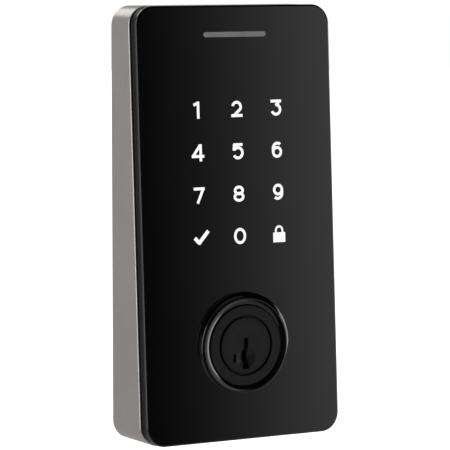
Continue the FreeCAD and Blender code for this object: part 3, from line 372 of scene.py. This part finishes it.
def ring_skin():
    """Radius and depth of the ring's skin from the bore over the crest to the foot."""
    steep = math.asin((RING_CREST - RING_BORE) / LIP_RADIUS)
    skin = [(RING_BORE, 4.0 * MM), (RING_BORE, 1.6 * MM)]
    for step in range(13):
        slope = steep * (1.0 - step / 12)
        reach = RING_CREST - LIP_RADIUS * math.sin(slope)
        skin.append((reach, LIP_RADIUS * (1.0 - math.cos(slope))))
    for step in range(1, 5):
        slope = math.radians(60.0 * step / 4)
        skin.append((
            RING_CREST + CREST_ROUND * math.sin(slope), CREST_ROUND * (1.0 - math.cos(slope))
        ))
    start, bend, foot = skin[-1], FOOT_BEND, (RING_FOOT, FACE_PROUD)
    for step in range(1, 17):
        part = step / 16
        one, two, three = (1 - part) ** 2, 2 * part * (1 - part), part ** 2
        skin.append(tuple(
            one * first + two * second + three * third
            for first, second, third in zip(start, bend, foot)
        ))
    skin.append((RING_FOOT, 3.2 * MM))
    return skin


def ring_profile(turn):
    """The skin at one angle, flattened just below the leaning panel where it would pass it."""
    lean = math.sin(turn) * math.tan(TILT)
    profile = []
    for radius, depth in ring_skin():
        panel = FACE_PROUD + radius * lean + BURIED
        outside = radius > RING_CREST
        profile.append((radius, min(depth, panel) if outside else depth))
    return profile


def smooth_mesh(name, points, faces, material):
    """An object with a smoothly shaded mesh and one material."""
    mesh = bpy.data.meshes.new(name)
    mesh.from_pydata(points, [], faces)
    for face in mesh.polygons:
        face.use_smooth = True
    item = bpy.data.objects.new(name, mesh)
    bpy.context.scene.collection.objects.link(item)
    mesh.materials.append(material)
    return item


def smooth_piece(name, points, faces, material, body, replaced):
    """A smooth mesh that rides a CAD body in place of one of its nodes."""
    item = smooth_mesh(name, points, faces, material)
    mesh = item.data
    work = bmesh.new()
    work.from_mesh(mesh)
    bmesh.ops.recalc_face_normals(work, faces=work.faces)
    work.to_mesh(mesh)
    work.free()
    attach(item, body)
    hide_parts(replaced)
    return item


def make_ring():
    """The ring's visible skin, open at its two hidden edges inside the housing."""
    points, faces = [], []
    for number in range(RING_STEPS):
        turn = math.tau * number / RING_STEPS
        for radius, behind in ring_profile(turn):
            points.append((radius * math.cos(turn), FACE + behind, radius * math.sin(turn)))
    count = len(points) // RING_STEPS
    for number in range(RING_STEPS):
        here, there = number * count, (number + 1) % RING_STEPS * count
        for step in range(count - 1):
            faces.append((here + step, here + step + 1, there + step + 1, there + step))
    smooth_piece("trim_ring_skin", points, faces, RING, "housing", "trim_ring")


# ---------------------------------------------------------------- pin springs

COIL_TURNS = 3.75
COIL_STEPS, COIL_SIDES = 90, 8
COIL_WIRE = 0.115 * MM
COIL_SLACK = 0.01 * MM


def make_coils():
    """Each pin's coil spring, made afresh with its own mesh in place of the CAD spring."""
    for number in range(1, 6):
        low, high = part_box(f"pin_spring_{number}")
        centre = (low + high) / 2
        reach = (high.x - low.x) / 2 - COIL_WIRE - COIL_SLACK
        foot, rise = low.z + COIL_WIRE, high.z - low.z - 2 * COIL_WIRE
        points, faces = [], []
        for step in range(COIL_STEPS + 1):
            turn = math.tau * COIL_TURNS * step / COIL_STEPS
            outward = Vector((math.cos(turn), math.sin(turn), 0.0))
            middle = Vector((centre.x, centre.y, foot + rise * step / COIL_STEPS)) + outward * reach
            for side in range(COIL_SIDES):
                tip = math.tau * side / COIL_SIDES
                points.append(
                    middle + outward * COIL_WIRE * math.cos(tip)
                    + Vector((0.0, 0.0, COIL_WIRE * math.sin(tip)))
                )
        for step in range(COIL_STEPS):
            for side in range(COIL_SIDES):
                here, after = step * COIL_SIDES, (side + 1) % COIL_SIDES
                faces.append((
                    here + side, here + after, here + COIL_SIDES + after, here + COIL_SIDES + side
                ))
        faces.append(tuple(range(COIL_SIDES)))
        faces.append(tuple(COIL_STEPS * COIL_SIDES + side for side in range(COIL_SIDES)))
        coil = smooth_piece(
            f"pin_spring_{number}_coil", points, faces, SPRING, "plug", f"pin_spring_{number}"
        )
        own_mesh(coil)


make_ring()
make_coils()
for name, width in (
    ("housing_shell", 0.12), ("front_cover", 0.12), ("plug", 0.06), ("cylinder_body", 0.06)
):
    round_edges(name, width * MM)


# ---------------------------------------------------------------- stage


def stage_mesh(name, points, faces, material):
    item = smooth_mesh(name, points, faces, material)
    return item


def ramp_between(made, source, stops):
    """A colour ramp of greys: stops are (position, grey) pairs."""
    ramp = made.add("ShaderNodeValToRGB")
    points = ramp.color_ramp.elements
    while len(points) < len(stops):
        points.new(0.5)
    for point, (place, grey) in zip(points, stops):
        point.position = place
        point.color = (grey, grey, grey, 1.0)
    made.link(source, ramp.inputs["Fac"])
    return ramp.outputs["Color"]


def make_floor():
    """A plain pale floor that fades into the white surroundings away from the lock."""
    paint = Finish("stage_floor", (0.82, 0.82, 0.82), 0.7)
    length = paint.add("ShaderNodeVectorMath", operation="LENGTH")
    paint.link(paint.coords, length.inputs[0])
    glow = ramp_between(
        paint, paint.spread(length.outputs["Value"], 0.0, 1.0, 0.25, 0.55),
        ((0.0, 0.0), (0.5, 0.35), (1.0, 1.0)),
    )
    paint.link(glow, paint.shader.inputs["Emission Color"])
    paint.set("Emission Strength", 1.0)
    rings = [(0.0, 0.0)]
    points = [(0.0, 0.0, FLOOR)]
    faces = []
    around = 64
    for number, radius in enumerate((0.3, 1.0, 3.0, 6.0)):
        for step in range(around):
            angle = math.tau * step / around
            points.append((radius * math.cos(angle), radius * math.sin(angle), FLOOR))
        first = 1 + around * number
        for step in range(around):
            after = (step + 1) % around
            if number:
                faces.append((
                    first - around + step, first + step, first + after, first - around + after
                ))
            else:
                faces.append((0, first + step, first + after))
    floor = stage_mesh("stage_floor", points, faces, paint.material)
    floor.visible_glossy = False
    return floor


def make_screen():
    """A tall curved screen in front, dark but for a low bright band on the right.

    SCREEN_STOPS gives its grey by azimuth in degrees, and SCREEN_FADE the heights
    between which the light dies away.
    """
    cloth = Finish("stage_screen", (0.0, 0.0, 0.0), 1.0, 0.0, Specular_IOR_Level=0.0)
    split = cloth.add("ShaderNodeSeparateXYZ")
    cloth.link(cloth.coords, split.inputs["Vector"])
    front = cloth.add("ShaderNodeMath", operation="MULTIPLY")
    front.inputs[1].default_value = -1.0
    cloth.link(split.outputs["Y"], front.inputs[0])
    turn = cloth.add("ShaderNodeMath", operation="ARCTAN2")
    cloth.link(split.outputs["X"], turn.inputs[0])
    cloth.link(front.outputs["Value"], turn.inputs[1])
    start, end = SCREEN_STOPS[0][0], SCREEN_STOPS[-1][0]
    across = cloth.spread(
        turn.outputs["Value"], 0.0, 1.0, math.radians(start), math.radians(end)
    )
    glow = ramp_between(
        cloth, across, [((angle - start) / (end - start), grey) for angle, grey in SCREEN_STOPS]
    )
    below = cloth.spread(split.outputs["Z"], 1.0, 0.0, *SCREEN_FADE)
    cloth.link(glow, cloth.shader.inputs["Emission Color"])
    cloth.link(below, cloth.shader.inputs["Emission Strength"])
    points, faces = [], []
    steps = 64
    for step in range(steps + 1):
        angle = math.radians(start + (end - start) * step / steps)
        for height in SCREEN_HEIGHTS:
            points.append((SCREEN_AWAY * math.sin(angle), -SCREEN_AWAY * math.cos(angle), height))
    for step in range(steps):
        faces.append((2 * step, 2 * step + 2, 2 * step + 3, 2 * step + 1))
    screen = stage_mesh("stage_screen", points, faces, cloth.material)
    screen.visible_camera = False
    screen.visible_diffuse = False
    return screen


def low_sky(tree, ambient):
    """The ambient level below and near the horizon, halved high above."""
    toward = tree.nodes.new("ShaderNodeTexCoord")
    split = tree.nodes.new("ShaderNodeSeparateXYZ")
    tree.links.new(toward.outputs["Generated"], split.inputs["Vector"])
    fade = tree.nodes.new("ShaderNodeMapRange")
    for name, number in (
        ("From Min", 0.4), ("From Max", 0.7), ("To Min", ambient), ("To Max", 0.5 * ambient)
    ):
        fade.inputs[name].default_value = number
    tree.links.new(split.outputs["Z"], fade.inputs["Value"])
    return fade.outputs["Result"]


def make_world(ambient):
    """White round the lock, with a softer ambient level lighting it."""
    world = bpy.data.worlds.new("studio")
    bpy.context.scene.world = world
    world.use_nodes = True
    tree = world.node_tree
    seen = tree.nodes["Background"]
    seen.inputs["Color"].default_value = (1.0, 1.0, 1.0, 1.0)
    seen.inputs["Strength"].default_value = 1.0
    lit = tree.nodes.new("ShaderNodeBackground")
    lit.inputs["Color"].default_value = (1.0, 1.0, 1.0, 1.0)
    path = tree.nodes.new("ShaderNodeLightPath")
    level = tree.nodes.new("ShaderNodeMix")
    level.inputs["A"].default_value = ambient
    tree.links.new(path.outputs["Is Glossy Ray"], level.inputs["Factor"])
    tree.links.new(low_sky(tree, ambient), level.inputs["B"])
    tree.links.new(level.outputs["Result"], lit.inputs["Strength"])
    mix = tree.nodes.new("ShaderNodeMixShader")
    tree.links.new(path.outputs["Is Camera Ray"], mix.inputs["Fac"])
    tree.links.new(lit.outputs["Background"], mix.inputs[1])
    tree.links.new(seen.outputs["Background"], mix.inputs[2])
    tree.links.new(mix.outputs["Shader"], tree.nodes["World Output"].inputs["Surface"])


def softbox(name, azimuth, elevation, away, wide, tall, level):
    """A soft rectangular light of even brightness, facing the lock."""
    around, above = math.radians(azimuth), math.radians(elevation)
    back = Vector((
        math.sin(around) * math.cos(above), -math.cos(around) * math.cos(above), math.sin(above)
    ))
    data = bpy.data.lights.new(name, "AREA")
    data.shape = "RECTANGLE"
    data.size, data.size_y = wide, tall
    data.energy = level * math.pi * wide * tall
    item = bpy.data.objects.new(name, data)
    bpy.context.scene.collection.objects.link(item)
    item.location = CENTRE + back * away
    item.rotation_mode = "QUATERNION"
    item.rotation_quaternion = back.to_track_quat("Z", "Y")
    item.visible_camera = False
    return item


FLOOR = -0.16
CENTRE = Vector((0.0, 0.0, PANEL_RISE))
SCREEN_AWAY = 1.35
SCREEN_HEIGHTS = (-0.62, 2.4)
SCREEN_FADE = (0.22, 0.27)
SCREEN_STOPS = (
    (-70.0, 0.22), (-40.0, 0.22), (-20.0, 0.03), (26.5, 0.03), (28.3, 0.15), (30.1, 0.41),
    (31.9, 0.74), (33.7, 1.1), (42.0, 1.1), (52.0, 1.3), (54.0, 4.6), (74.0, 4.6),
    (82.0, 0.5), (100.0, 0.3), (140.0, 0.3),
)
AMBIENT = 0.5
make_floor()
make_screen()
make_world(AMBIENT)
softbox("light_left", -98.0, 6.0, 1.0, 0.6, 0.9, 2.2)
softbox("light_back", 185.0, 32.0, 1.2, 0.6, 0.3, 1.5)


# ---------------------------------------------------------------- camera

AZIMUTH, ELEVATION, ROLL = math.radians(-30.02), math.radians(5.504), math.radians(-0.029)
AWAY = 0.8708
TARGET = Vector((-5.61 * MM, -19.9 * MM, 37.78 * MM))


def make_camera():
    data = bpy.data.cameras.new("camera")
    data.sensor_width = 36.0
    data.lens = 224.0
    data.clip_start, data.clip_end = 0.05, 20.0
    item = bpy.data.objects.new("camera", data)
    bpy.context.scene.collection.objects.link(item)
    back = Vector((
        math.sin(AZIMUTH) * math.cos(ELEVATION),
        -math.cos(AZIMUTH) * math.cos(ELEVATION),
        math.sin(ELEVATION),
    ))
    right = Vector((0, 0, 1)).cross(back).normalized()
    up = back.cross(right)
    across = right * math.cos(ROLL) + up * math.sin(ROLL)
    upward = back.cross(across)
    turn = Matrix((across, upward, back)).transposed()
    item.rotation_mode = "QUATERNION"
    item.rotation_quaternion = turn.to_quaternion()
    item.location = TARGET + back * AWAY
    bpy.context.scene.camera = item


make_camera()
bpy.context.scene.view_settings.view_transform = "Standard"
